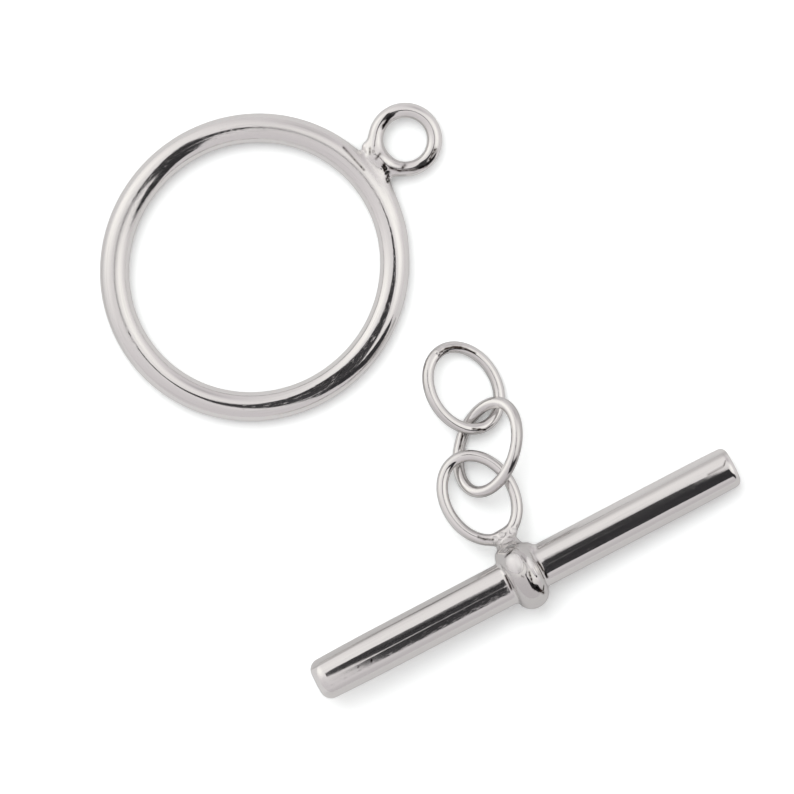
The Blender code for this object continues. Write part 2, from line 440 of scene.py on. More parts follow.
def polished_silver(name, colour, streaking):
    """Silver with drawn streaks and hairline scratches along its wire, duller and lumpy where it is soldered.
    The marks of a surface are its solder, its wear and its painted shade. Solder goes from 0 to 1. Wear up to
    1 gives more and more scratches, and above 1 satin. Painted shade stands for shade and dark reflections:
    it darkens the silver lightly up to about 0.25 and breaks into black specks above that."""
    material = bpy.data.materials.new(name)
    material.use_nodes = True
    finish = Nodes(material.node_tree)
    shader = finish.tree.nodes["Principled BSDF"]
    grain = finish.node("ShaderNodeAttribute", {"attribute_name": "grain"}, output="Vector")
    marks = finish.node("ShaderNodeAttribute", {"attribute_name": "marks"}, output="Vector")
    solder, worn, soot = (
        finish.node("ShaderNodeSeparateXYZ", {}, {"Vector": marks}, output=i) for i in range(3))
    place = finish.node("ShaderNodeTexCoord", output="Object")
    drawn = finish.node("ShaderNodeVectorMath", {"operation": "MULTIPLY"}, {0: grain, 1: STREAK_WAVES})
    streaks = finish.node(
        "ShaderNodeTexNoise", {}, {"Vector": drawn, "Scale": 1.0, "Detail": 3.0, "Roughness": 0.6})
    patches = finish.node("ShaderNodeTexNoise", {}, {"Vector": place, "Scale": PATCH_WAVES, "Detail": 2.0})
    lumps = finish.node("ShaderNodeTexNoise", {}, {"Vector": place, "Scale": LUMP_WAVES, "Detail": 2.0})
    fine = finish.node("ShaderNodeVectorMath", {"operation": "MULTIPLY"}, {0: grain, 1: HAIR_WAVES})
    hairs = finish.node(
        "ShaderNodeTexNoise", {}, {"Vector": fine, "Scale": 1.0, "Detail": 3.0, "Roughness": 0.65})
    specks = finish.node("ShaderNodeTexNoise", {}, {"Vector": place, "Scale": SPECK_WAVES, "Detail": 2.0})
    scratched = finish.node("ShaderNodeClamp", {}, {"Value": (worn - hairs) * SCRATCH_EDGE + 0.5})
    satin = finish.node("ShaderNodeClamp", {}, {"Value": worn - 1.0})
    lines = finish.node("ShaderNodeClamp", {}, {"Value": (streaks - LINE_FROM) * LINE_EDGE})
    # Painted shade darkens the silver, and above about 0.25 it breaks into black specks
    black = finish.node("ShaderNodeClamp", {}, {"Value": (soot - specks) * SPECK_EDGE + 0.5})
    dark = finish.node(
        "ShaderNodeClamp", {}, {"Value": black + soot * SHADE_DARKNESS + lines * (LINE_TARNISH * streaking)})
    tone = finish.node(
        "ShaderNodeMix", {"data_type": "RGBA"}, {"Factor": dark, 6: (*colour, 1), 7: (*SHADE_AND_LINE_COLOUR, 1)},
        output=2)
    height = streaks * streaking * (1 - solder) + lumps * solder * LUMP_HEIGHT
    height = height + patches * PATCH_HEIGHT + scratched * SCRATCH_HEIGHT
    rough = ROUGHNESS + streaks * (STREAK_ROUGHNESS * streaking) + solder * SOLDER_ROUGHNESS
    rough = rough + scratched * SCRATCH_ROUGHNESS + satin * SATIN_ROUGHNESS
    finish.fill(shader, {
        "Base Color": tone,
        "Metallic": 1 - satin * SATIN_LOSS,
        "Roughness": rough,
        "Normal": finish.node("ShaderNodeBump", {}, {"Height": height, "Distance": BUMP}),
    })
    return material


# The ring. Places are in millimetres from the ring's middle, with the eye along X.

RING_STREAKS = 1.0

# Lumps of solder by the eye, pits in it, and painted shade and dark reflections in and round it
RING_SOLDER = (
    Lump((10.85, -0.05, 0.0), (0.80, 1.25, 0.50)),
    Lump((10.08, -2.20, 0.0), (0.45, 2.60, 0.60), -19),
    Lump((11.10, 1.39, 0.05), (0.22, 0.22, 0.22)),
    Lump((11.05, 0.60, 0.42), (0.22, 0.30, 0.16), 20),
    Lump((11.35, -0.05, 0.45), (0.20, 0.26, 0.16)),
)
RING_PITS = (
    Lump((11.12, -0.56, 0.50), (0.13, 0.20, 0.25)),
    Lump((11.02, -0.92, 0.45), (0.16, 0.08, 0.30)),
    Lump((10.76, -1.32, 0.30), (0.11, 0.16, 0.35)),
    Lump((11.25, 0.75, 0.55), (0.08, 0.10, 0.12)),
)
RING_PAINTED_SHADE = (
    Stroke((11.22, -0.38), (11.02, -0.72), 0.13, 0.64),
    Stroke((11.02, -0.80), (11.14, -0.98), 0.10, 0.60),
    Stroke((11.10, -1.00), (10.88, -1.12), 0.09, 0.56),
    Stroke((10.78, -1.22), (10.66, -1.42), 0.10, 0.60),
    Stroke((11.07, 0.28), (11.49, 0.36), 0.09, 0.54),
    Stroke((11.22, 1.10), (10.95, 0.80), 0.08, 0.48),
    Stroke((13.86, -2.10), (14.52, -1.85), 0.16, 0.52),
    Stroke((12.00, -1.36), (12.28, -1.32), 0.12, 0.52),
    Stroke((13.68, 1.89), (12.83, 1.63), 0.14, 0.52),
    Stroke((11.39, -0.80), (11.78, -1.40), 0.09, 0.60),
    Stroke((11.78, -1.40), (12.55, -1.97), 0.08, 0.62),
    Stroke((12.55, -1.97), (13.34, -2.28), 0.09, 0.58),
    Stroke((13.34, -2.28), (14.11, -2.22), 0.10, 0.50),
    Stroke((9.88, 2.30), (9.95, 0.23), 0.08, 0.50),
)
SOLDERED_AREA = Lump((11.0, -0.2, 0), (1.3, 1.9, 1.3))
SOLDERED_FADE = 0.8

# Fillets along the worn flat's edges, round the lumps of solder, between ring and eye and round the pits
FLAT_FILLET = 0.03
RING_SOLDER_FILLET = 0.35
EYE_FILLET = 0.45
PIT_FILLET = 0.06

# Where the crest of the ring's wire is worn flat, from the eye's bearing, and how deep
FLAT_BEARING = math.radians(-90)
FLAT_REACH = math.radians(62)
FLAT_DEPTH = 0.042

# Wear of the whole ring, of the flat, which is above this share of the wire's radius, and of two stretches,
# one far from the eye and one beside it: their bearings in radians, how widely they spread, and how far
# outside the ring's wire the one beside the eye ends
RING_WEAR = 0.25
FLAT_WEAR = 0.11
FLAT_FROM = 0.8
STRETCH_WEAR = 0.45
FAR_STRETCH = 2.44
EYE_STRETCH = 0.35
STRETCH_SPREAD = 0.2
STRETCH_FADE = 0.5

# A painted dark reflection along the outside of the ring, by its distance from the wire's centre line and by
# its bearing in radians
RIM_PAINTED_REFLECTION = Hill(strength=0.20, middle=0.86, reach=0.05)
RIM_REFLECTION_BEARING = Hill(strength=1.0, middle=2.6, reach=0.5)


def flat_share(bearing):
    """How deep the ring is worn at a bearing, as a share of the deepest place. Below 0 it isn't worn."""
    return 1 - ((bearing - FLAT_BEARING) / FLAT_REACH) ** 2


def stretch_wear(bearing, middle):
    return STRETCH_WEAR * np.exp((np.cos(bearing - middle) - 1) / STRETCH_SPREAD)


class CLASP_OT_toggle_ring(bpy.types.Operator):
    """Makes the toggle ring, its eye and the solder between them"""
    bl_idname = "clasp.toggle_ring"
    bl_label = "Toggle ring"

    def execute(self, context):
        size = context.scene.clasp_ring
        line = (size.length - size.wire) / 2 / MM
        across = (size.width - size.wire) / 2 / MM
        wire = size.wire / MM
        eye_wire = size.eye_wire / MM
        eye_line = (size.eye_diameter - size.eye_wire) / 2 / MM
        eye = np.array(((size.length / 2 + size.eye_gap + size.eye_diameter / 2) / MM, 0, 0))

        def shape(points):
            ring = round_wire(oval_line(points, line, across), wire)
            loop = round_wire(oval_line(points - eye, eye_line, eye_line), eye_wire)
            depth = FLAT_DEPTH * flat_share(np.arctan2(points[:, 1], points[:, 0]))
            ring = -soft_join(-ring, wire / 2 - depth - points[:, 2], FLAT_FILLET)
            ring = add_lumps(ring, points, RING_SOLDER, RING_SOLDER_FILLET)
            return cut_lumps(soft_join(ring, loop, EYE_FILLET), points, RING_PITS, PIT_FILLET)

        def marks(points):
            solder = inside(ball(points, SOLDERED_AREA), SOLDERED_FADE)
            bearing = np.arctan2(points[:, 1], points[:, 0])
            out = oval_line(points, line, across)[0]
            on_flat = np.clip(flat_share(bearing), 0, 1) * (points[:, 2] > FLAT_FROM * wire / 2)
            on_ring = np.clip((wire / 2 + STRETCH_FADE - out) / STRETCH_FADE, 0, 1)
            worn = RING_WEAR + FLAT_WEAR * on_flat + stretch_wear(bearing, FAR_STRETCH)
            worn = worn + stretch_wear(bearing, EYE_STRETCH) * on_ring
            # A painted dark reflection along the ring's outer rim
            rim_reflection = on_hill(out, RIM_PAINTED_REFLECTION) * on_hill(bearing, RIM_REFLECTION_BEARING) * (points[:, 2] > 0)
            # Painted shade and dark reflections drawn as strokes by the solder and along the eye
            return solder, worn, np.maximum(rim_reflection, strokes(points, RING_PAINTED_SHADE))

        def grain(points):
            out, up = oval_line(points, line, across)
            eye_out, eye_up = oval_line(points - eye, eye_line, eye_line)
            loop = np.hypot(eye_out, eye_up) - eye_wire / 2 < np.hypot(out, up) - wire / 2
            return (
                np.where(loop, eye_out, out), np.where(loop, eye_up, up),
                np.where(loop, way_round(eye - points), way_round(points)))

        low = (-line - wire, -across - wire, -wire)
        high = (eye[0] + eye_line + eye_wire, across + wire, wire)
        make_piece(
            "ring", "toggle_ring", Form(shape, grain, marks, low, high, THICK_PITCH),
            (size.place[0] / MM, size.place[1] / MM, wire / 2),
            np.array(Matrix.Rotation(size.bearing, 3, "Z")),
            polished_silver("ring silver", context.scene.clasp_silver.colour, RING_STREAKS))
        return {"FINISHED"}


# What the bar's link and the loose links share

# The sides of a link's wire are painted darker than its crest, a painted reflection of shade: the strongest
# darkening, and the share of the wire's thickness above and below its middle that it fades over
SIDE_PAINTED_SHADE = 0.30
SIDE_SHARE = 0.48


def link_frame(bearing, pitch, roll):
    """The axes of a link: pitch lifts the end that its bearing points to, roll its left side."""
    turn = Matrix.Rotation(bearing, 3, "Z")
    return np.array(turn @ Matrix.Rotation(-pitch, 3, "Y") @ Matrix.Rotation(roll, 3, "X"))


def link_side_shade(up, wire):
    return SIDE_PAINTED_SHADE * np.clip(1 - np.abs(up) / (SIDE_SHARE * wire), 0, 1)


def bearing_vector(bearing):
    return np.array((math.cos(bearing), math.sin(bearing), 0))


# The bar. Places are in millimetres from the bar's middle, with the bar along X and its link at the back.

BAR_STREAKS = 0.8

# Lumps of the solder neck, the collar's pearl and ridge, the dish behind the pearl, and blobs on the neck
NECK_SOLDER = (
    Lump((-0.50, 2.86, -0.15), (0.34, 0.26, 0.34)),
    Lump((0.60, 2.92, -0.15), (0.26, 0.26, 0.30)),
    Lump((0.05, 2.45, 0.10), (0.60, 0.35, 0.30)),
    Lump((-1.00, 1.70, 0.30), (0.30, 0.45, 0.50)),
    Lump((1.00, 1.45, 0.40), (0.35, 0.40, 0.50)),
)
COLLAR_LUMPS = (
    Lump((-0.40, 0.92, 1.86), (0.56, 0.80, 0.62)),
    Lump((0.50, 0.10, 1.80), (0.26, 0.90, 0.60)),
)
COLLAR_DISH = Lump((-0.34, 0.98, 2.62), (0.84, 0.98, 0.43))
SATIN_BLOBS = (
    Lump((-0.72, 3.00, -0.05), (0.22, 0.22, 0.34)),
    Lump((-0.18, 3.10, -0.02), (0.17, 0.17, 0.28)),
    Lump((0.67, 2.90, -0.02), (0.17, 0.24, 0.30)),
)

# Fillets at the collar's feet, round its dish and its lumps, between the neck and its link, round the
# neck's lumps, and between the neck and the collar
COLLAR_FILLET = 0.25
DISH_FILLET = 0.1
LUMP_FILLET = 0.06
NECK_LINK_FILLET = 0.35
NECK_LUMP_FILLET = 0.15
NECK_FILLET = 0.4

# How much thinner the bar is on the left and on the right of its collar, and its tapers towards the ends:
# from where they start, and millimetres of thinning for each square millimetre of the way
LEFT_THINNING = -0.02
RIGHT_THINNING = 0.02
LEFT_TAPER_START = 10
LEFT_TAPER = 0.0024
RIGHT_TAPER_START = 12
RIGHT_TAPER = 0.003

# The solder neck: its bearing on the table, its root's distance from the collar's middle, its radius, and
# the share that offsets along the bar count for, which makes the neck wider that way
NECK_BEARING = math.radians(119.3)
NECK_ROOT = 2.25
NECK_RADIUS = 0.45
NECK_SQUEEZE = 0.62

# The link that the neck holds: how far its near end is below the collar's middle, its gap from the collar,
# its bearing, and its far end above the table, in steps of one wire on another
NECK_DROP = 0.35
NECK_GAP = 0.09
SOLDERED_BEARING = math.radians(122.5)
SOLDERED_FAR_STEPS = 1.20

# The link's grain and painted shade reach this far from its centre line, as a share of its wire's thickness,
# and the bar's painted shade this far out from its surface
LINK_NEAR = 0.7
BAR_NEAR = 0.05

# Room round the bar in the block of its grid, at its ends, round its collar and behind its link
END_ROOM = 0.3
COLLAR_ROOM = 0.25
LINK_ROOM = 1

# Solder: the neck, and the collar's feet by their distance along the bar, half width and radius
NECK_AREA_BACK = 2.6
NECK_AREA_SIZES = (1.3, 1.0, 1.3)
FOOT_PLACE = 1.15
FOOT_REACH = 0.2
FOOT_RADIUS = 1.9
BAR_SOLDER_FADE = 0.5

# Wear: of the whole bar, a smear on its left half (by its distance from the bar's line and its place along
# the bar), a scratched edge there, and the satin of the lumps, which ends this far outside them
BAR_WEAR = 0.27
SMEAR = Hill(strength=0.09, middle=-0.45, reach=0.30)
SMEAR_WAY = Hill(strength=1.0, middle=-3.2, reach=1.6)
SCRATCHED_EDGE = Hill(strength=0.13, middle=-0.58, reach=0.10)
SATIN_WEAR = 1.6
SATIN_EDGE = 0.05

# To the right of the bar's middle, lumps are satin only behind this line
SATIN_FROM = 0.2

# Painted shade and painted dark reflections: at the back of the bar's left and right half, along its front,
# and a painted dark line on its left half that leans towards the bar's middle near the end
LEFT_BACK_SHADE = Slope(start=1.0, rate=1.6, most=0.16)
RIGHT_BACK_SHADE = Hill(strength=0.20, middle=0.98, reach=0.15)
FRONT_SHADE = Slope(start=0.7, rate=0.5, most=0.10)
LEFT_PAINTED_LINE = Hill(strength=0.33, middle=1.19, reach=0.04)
LEFT_PAINTED_LINE_LEAN = Slope(start=8, rate=0.02, most=0.16)

# Painted shade on the collar between its bright lumps: its strength, how it rises outwards from the bar, how
# far from a lump it is full, and how far back it goes
COLLAR_PAINTED_SHADE = 0.16
COLLAR_RISE = Slope(start=0, rate=4, most=1)
LUMP_REACH = 0.06
COLLAR_BACK = 2.7

# Painted shade and dark reflections, drawn as strokes on the bar, its collar and its neck, on all that is
# above this height
BAR_PAINTED_SHADE_HEIGHT = -0.5
BAR_PAINTED_SHADE = (
    Stroke((1.06, 0.35), (1.18, -0.85), 0.10, 0.64),
    Stroke((-1.32, 0.55), (-1.38, -0.45), 0.09, 0.56),
    Stroke((0.17, 0.05), (0.03, -0.60), 0.10, 0.54),
    Stroke((0.03, -0.60), (-0.05, -1.20), 0.08, 0.50),
    Stroke((0.14, -1.12), (0.42, -1.65), 0.15, 0.60),
    Stroke((0.42, -1.60), (0.66, -1.25), 0.07, 0.54),
    Stroke((-0.42, 0.05), (-0.32, -0.08), 0.07, 0.50),
    Stroke((0.24, 1.25), (0.30, 0.75), 0.05, 0.46),
    Stroke((-0.76, 1.68), (-0.08, 1.87), 0.06, 0.56),
    Stroke((0.14, 2.14), (0.63, 2.05), 0.06, 0.42),
    Stroke((-1.64, 3.72), (-1.36, 3.38), 0.07, 0.62),
    Stroke((-1.36, 3.38), (-0.84, 3.08), 0.07, 0.62),
    Stroke((-12.08, -0.40), (-11.98, -0.24), 0.06, 0.62),
    Stroke((-13.05, -0.32), (-13.00, -0.28), 0.05, 0.60),
    Stroke((14.04, 0.24), (15.28, 0.26), 0.05, 0.50),
    Stroke((15.28, 0.26), (15.56, 0.52), 0.05, 0.52),
)


def soldered_link(bar, link):
    """Middle, from the collar's middle and in millimetres, and axes of the link that is soldered to it."""
    wire, length = link.wire / MM, link.length / MM
    near = bar.collar_diameter / 2 / MM - NECK_DROP
    far = wire / 2 + SOLDERED_FAR_STEPS * (wire + link.gap / MM)
    middle = bearing_vector(NECK_BEARING) * (bar.collar_diameter / 2 / MM + NECK_GAP + length / 2)
    middle[2] = (near + far) / 2 - bar.collar_diameter / 2 / MM
    return middle, link_frame(SOLDERED_BEARING, math.asin((far - near) / (length - wire)), 0)


class CLASP_OT_toggle_bar(bpy.types.Operator):
    """Makes the bar, its collar, the solder neck and the link that it holds"""
    bl_idname = "clasp.toggle_bar"
    bl_label = "Toggle bar"

    def execute(self, context):
        bar, link = context.scene.clasp_bar, context.scene.clasp_link
        length, radius = bar.length / MM, bar.diameter / 2 / MM
        left_rounding, right_rounding = bar.left_rounding / MM, bar.right_rounding / MM
        shift = bar.collar_shift / MM
        collar_radius = bar.collar_diameter / 2 / MM
        rise = collar_radius - radius
        tilt = math.atan(rise / (length / 2 - right_rounding - shift))
        turn = Matrix.Rotation(bar.bearing, 3, "Z")
        axes = np.array(turn @ Matrix.Rotation(tilt, 3, "Y"))
        middle, link_axes = soldered_link(bar, link)
        collar = np.array((shift, 0, 0))
        link_middle = middle @ axes + collar
        link_axes = axes.T @ link_axes
        half_length = (link.length - link.wire) / 2 / MM
        half_width = (link.width - link.wire) / 2 / MM
        wire = link.wire / MM
        neck_tip = link_middle - link_axes @ np.array((half_length, 0, 0))
        neck_root = collar + (neck_tip - collar) / np.linalg.norm(neck_tip - collar) * NECK_ROOT

        def link_offset(points):
            return oval_line(local(points, link_middle, link_axes), half_length, half_width)

        def from_line(points):
            return np.hypot(points[:, 1], points[:, 2])

        def bar_shape(points):
            x = points[:, 0]
            ends = np.where(x < shift, left_rounding, right_rounding)
            thin = np.where(x < shift, LEFT_THINNING, RIGHT_THINNING)
            thin = thin + LEFT_TAPER * np.maximum(-x - LEFT_TAPER_START, 0) ** 2
            thin = thin + RIGHT_TAPER * np.maximum(x - RIGHT_TAPER_START, 0) ** 2
            past = np.abs(x) - (length / 2 - ends)
            wide = from_line(points) - (radius - ends - thin)
            corner = np.hypot(np.maximum(past, 0), np.maximum(wide, 0))
            return corner + np.minimum(np.maximum(past, wide), 0) - ends

        def collar_shape(points):
            along = (points[:, 0] - shift) / (bar.collar_width / 2 / MM)
            return (np.hypot(along, (from_line(points) - radius) / rise) - 1) * rise

        def neck_shape(points):
            away = off_line(points, neck_root, neck_tip)
            web = np.hypot(away[:, 0] * NECK_SQUEEZE, np.hypot(away[:, 1], away[:, 2])) - NECK_RADIUS
            neck = soft_join(round_wire(link_offset(points), wire), web, NECK_LINK_FILLET)
            return add_lumps(neck, points, NECK_SOLDER, NECK_LUMP_FILLET)

        def shape(points):
            body = soft_join(bar_shape(points), collar_shape(points), COLLAR_FILLET)
            body = cut_lumps(body, points, (COLLAR_DISH,), DISH_FILLET)
            body = add_lumps(body, points, COLLAR_LUMPS, LUMP_FILLET)
            body = soft_join(body, neck_shape(points), NECK_FILLET)
            return add_lumps(body, points, SATIN_BLOBS, LUMP_FILLET)

        def solder_marks(points):
            neck = ball(points, Lump((shift, NECK_AREA_BACK, 0), NECK_AREA_SIZES))
            feet = np.abs(np.abs(points[:, 0] - shift) - FOOT_PLACE) - FOOT_REACH
            feet = np.maximum(feet, from_line(points) - FOOT_RADIUS)
            return inside(np.minimum(neck, feet), BAR_SOLDER_FADE)

        # Painted shade and painted dark reflections on the bar, its collar and the soldered link's sides
        def painted_shade_marks(points, lumps):
            x, y = points[:, 0], points[:, 1]
            on_left = x < shift
            on_bar = from_line(points) < radius + BAR_NEAR
            back = np.where(on_left, on_slope(y, LEFT_BACK_SHADE), on_hill(y, RIGHT_BACK_SHADE))
            line = on_hill(y + on_slope(-x, LEFT_PAINTED_LINE_LEAN), LEFT_PAINTED_LINE) * on_left * (points[:, 2] > 0)
            out, up = link_offset(points)
            # The soldered link's wire is painted darker along its sides
            sides = link_side_shade(up, wire) * (np.hypot(out, up) < wire * LINK_NEAR)
            # The collar painted darker round its lumps
            collar_shade = COLLAR_PAINTED_SHADE * on_slope(from_line(points) - radius, COLLAR_RISE)
            collar_shade = collar_shade * np.clip(lumps / LUMP_REACH, 0, 1) * (y < COLLAR_BACK)
            on_surface = np.max([back, on_slope(-y, FRONT_SHADE), line], axis=0) * on_bar
            return np.max([on_surface, sides, collar_shade], axis=0)

        def marks(points):
            x, y = points[:, 0], points[:, 1]
            lumps = np.min([ball(points, lump) for lump in COLLAR_LUMPS + SATIN_BLOBS], axis=0)
            satin = np.where((y > SATIN_FROM) | (x < 0), np.clip(1 - lumps / SATIN_EDGE, 0, 1), 0)
            smear = on_hill(y, SMEAR) * on_hill(x, SMEAR_WAY)
            edge = on_hill(y, SCRATCHED_EDGE) * (x < 0)
            # Painted shade and dark reflections drawn as strokes
            soot = strokes(points, BAR_PAINTED_SHADE, BAR_PAINTED_SHADE_HEIGHT)
            return (
                solder_marks(points), BAR_WEAR + smear + edge + SATIN_WEAR * satin,
                np.maximum(painted_shade_marks(points, lumps), soot))

        def grain(points):
            out, up = link_offset(points)
            loop = np.hypot(out, up) < wire * LINK_NEAR
            way = way_round(-local(points, link_middle, link_axes))
            return (
                np.where(loop, out, points[:, 1]), np.where(loop, up, points[:, 2]),
                np.where(loop, way, points[:, 0]))

        place = np.array(middle_of("toggle_bar")) / MM
        place[2] = collar_radius + (axes @ np.array((-shift, 0, 0)))[2]
        side = collar_radius + COLLAR_ROOM
        low = (-length / 2 - END_ROOM, -side, -side)
        high = (length / 2 + END_ROOM, link_middle[1] + half_length + LINK_ROOM, side)
        # The bar leans on its collar and its right end, but it shines as a bar that lies level does
        level_axes = np.array(turn)
        make_piece(
            "bar", "toggle_bar", Form(shape, grain, marks, low, high, THICK_PITCH), place, axes,
            polished_silver("bar silver", context.scene.clasp_silver.colour, BAR_STREAKS), level_axes)
        return {"FINISHED"}


# The loose links. Their strokes of painted dark reflections are in millimetres from a link's middle, with its
# length along X.

LooseLink = namedtuple("LooseLink", "name node share bearing has_seam soot")
# Each link's strokes of painted dark reflections
MIDDLE_LINK = LooseLink("middle_link_wire", "middle_link", share=1.02, bearing=71.0, has_seam=False, soot=(
    Stroke((0.23, 2.12), (-0.80, 1.95), 0.08, 0.54),
))
END_LINK = LooseLink("end_link_wire", "end_link", share=0.97, bearing=121.0, has_seam=True, soot=(
    Stroke((2.89, 0.30), (2.91, -0.24), 0.08, 0.60),
    Stroke((2.91, -0.24), (2.77, -0.71), 0.10, 0.62),
    Stroke((2.77, -0.71), (2.46, -1.20), 0.11, 0.66),
    Stroke((2.46, -1.20), (2.15, -1.50), 0.09, 0.64),
    Stroke((2.15, -1.50), (1.62, -1.86), 0.07, 0.58),
    Stroke((2.48, 0.79), (2.69, 0.24), 0.05, 0.56),
    Stroke((2.69, 0.24), (2.70, -0.30), 0.05, 0.58),
    Stroke((-2.70, 1.07), (-3.20, 0.30), 0.08, 0.54),
))

# How the links lean, in steps of one wire on another: the middle link's high side above the middle of the
# soldered link, its far end above its near end, and the end link's high side above its low side
MIDDLE_OVER_STEPS = 1.5
MIDDLE_END_STEPS = 0.6
END_SIDE_STEPS = 1.5

LINK_STREAKS = 2.2
LINK_WEAR = 0.32

# The lump at a link's seam: its place from the far end of the wire's line, its half sizes and its fillet,
# and the half sizes and fade of what is soldered round it
SEAM_PLACE = (0.35, 0.20)
SEAM_SIZES = (0.24, 0.22, 0.24)
SEAM_FILLET = 0.12
SEAM_AREA_SIZES = (0.5, 0.3, 0.5)
SEAM_FADE = 0.2


def loose_link_form(row, link):
    wire = link.wire / MM
    half_length = (link.length * row.share / MM - wire) / 2
    half_width = (link.width / MM - wire) / 2
    seam = (half_length, *SEAM_PLACE)

    def shape(points):
        body = round_wire(oval_line(points, half_length, half_width), wire)
        return add_lumps(body, points, (Lump(seam, SEAM_SIZES),), SEAM_FILLET) if row.has_seam else body

    def grain(points):
        return *oval_line(points, half_length, half_width), way_round(points)

    def marks(points):
        solder = inside(ball(points, Lump(seam, SEAM_AREA_SIZES)), SEAM_FADE) * row.has_seam
        # The wire's sides painted darker, and strokes of painted dark reflections
        soot = np.maximum(link_side_shade(points[:, 2], wire), strokes(points, row.soot))
        return solder, np.full(len(points), LINK_WEAR), soot

    high = np.array((half_length + wire, half_width + wire, wire))
    return Form(shape, grain, marks, -high, high, THIN_PITCH)


class CLASP_OT_loose_links(bpy.types.Operator):
    """Makes the two loose links"""
    bl_idname = "clasp.loose_links"
    bl_label = "Loose links"

    def execute(self, context):
        bar, link = context.scene.clasp_bar, context.scene.clasp_link
        wire = link.wire / MM
        step = wire + link.gap / MM
        length = link.length * MIDDLE_LINK.share / MM - wire
        across = link.width / MM - wire
        soldered_height = soldered_link(bar, link)[0][2] + bar.collar_diameter / 2 / MM
        side_rise = soldered_height + MIDDLE_OVER_STEPS * step - wire / 2
        for row, pitch, roll in (
                (MIDDLE_LINK, math.asin(MIDDLE_END_STEPS * step / length), -math.asin(side_rise / across)),
                (END_LINK, 0, math.asin(END_SIDE_STEPS * step / across))):
            make_piece(
                row.name, row.node, loose_link_form(row, link), np.array(middle_of(row.node)) / MM,
                link_frame(math.radians(row.bearing), pitch, roll),
                polished_silver(row.name + " silver", context.scene.clasp_silver.colour, LINK_STREAKS))
        return {"FINISHED"}


# The stage

# The camera sees this much of the table, in metres and at this height, through a lens and a sensor in
# millimetres
VIEW_MIDDLE = (-0.001586, 0.000302)
VIEW_WIDTH = 0.05399
VIEW_HEIGHT = 0.0012
LENS = 500
SENSOR = 36
NEAREST_SEEN = 0.01

# The floor reaches this far each way, in metres
FLOOR_REACH = 2.0

# The lamp's strength, the angle that it fills, and where it stands, in degrees and as the glows below do
LAMP_STRENGTH = 0.95
LAMP_SPREAD = 36
LAMP_AWAY = 22
LAMP_BEARING = 125

# Soft light all round, brightest in a few places. Away is the angle from straight above, bearing runs
# anticlockwise from +X, spread is the half width of the glow.
Glow = namedtuple("Glow", "away bearing spread brightness")
GLOWS = (
    Glow(away=42, bearing=12, spread=22, brightness=0.42),
    Glow(away=70, bearing=158, spread=24, brightness=0.38),
    Glow(away=40, bearing=130, spread=32, brightness=0.14),
    Glow(away=58, bearing=68, spread=10, brightness=-0.22),
)
DOME_BRIGHTNESS = 0.60

# Tints of the dim and of the bright sky, which is wholly warm from this brightness on
COOL_TINT = (1.035, 0.985, 1.005)
WARM_TINT = (1.01, 0.99, 0.96)
WARM_BRIGHTNESS = 1.0

# A dark card that arches over the table: its left and right edge, each by the angles that it leans from
# straight above, first along the bar's bearing and then to the left of it, and its distance in metres
CardRow = namedtuple("CardRow", "left_along left_aside right_along right_aside")
DARK_CARD = (
    CardRow(-3.6, 29.8, -0.6, 29.8),
    CardRow(-4.2, 27.5, -0.25, 27.5),
    CardRow(-4.8, 23.5, 0.2, 23.5),
    CardRow(-5.0, 18.5, 0.55, 18.5),
    CardRow(-4.8, 13, 2.2, 13),
    CardRow(-4.3, 8, 2.9, 8),
    CardRow(-3.8, 4.5, 3.0, 4.5),
    CardRow(-3.3, 1.5, 3.3, 1.5),
    CardRow(-2.6, -2, 3.5, -2),
    CardRow(-1.9, -6, 3.9, -6),
    CardRow(-0.5, -7.6, 4.3, -7.6),
    CardRow(-0.3, -8.7, 4.7, -8.7),
    CardRow(-0.5, -9.8, 5.2, -9.8),
    CardRow(-2.7, -11.4, 5.7, -11.4),
    CardRow(-2.9, -20, 8.2, -20),
    CardRow(-2.6, -28, 9.6, -28),
    CardRow(-2.3, -36, 12.5, -33),
    CardRow(-2.0, -46, 21, -39),
    CardRow(-0.3, -52, 27, -42),
    CardRow(6, -56, 32.6, -44.3),
    CardRow(15.5, -65.2, 45.2, -49.5),
    CardRow(28.6, -76.9, 48.7, -66),
)
CARD_BEARING = 27.6
CARD_DISTANCE = 4.0
CARD_COLOUR = (0.027, 0.027, 0.03)
CARD_ROUGHNESS = 0.9


def sky_direction(away, bearing):
    away, bearing = math.radians(away), math.radians(bearing)
    return Vector((math.sin(away) * math.cos(bearing), math.sin(away) * math.sin(bearing), math.cos(away)))


def make_floor(scene):
    mesh = bpy.data.meshes.new("floor")
    far = FLOOR_REACH
    mesh.from_pydata([(-far, -far, 0), (far, -far, 0), (far, far, 0), (-far, far, 0)], [], [(0, 1, 2, 3)])
    floor = bpy.data.objects.new("floor", mesh)
    material = bpy.data.materials.new("pale floor")
    material.use_nodes = True
    nodes = Nodes(material.node_tree)
    seen = nodes.node("ShaderNodeLightPath")
    colours = scene.clasp_stage
    shade = nodes.node(
        "ShaderNodeMix", {"data_type": "RGBA"},
        {"Factor": seen, 6: (*colours.floor_mirrored, 1), 7: (*colours.floor_seen, 1)}, output=2)
    diffuse = nodes.node("ShaderNodeBsdfDiffuse", {}, {"Color": shade})
    nodes.fill(nodes.tree.nodes["Material Output"], {"Surface": diffuse})
    mesh.materials.append(material)
    scene.collection.objects.link(floor)


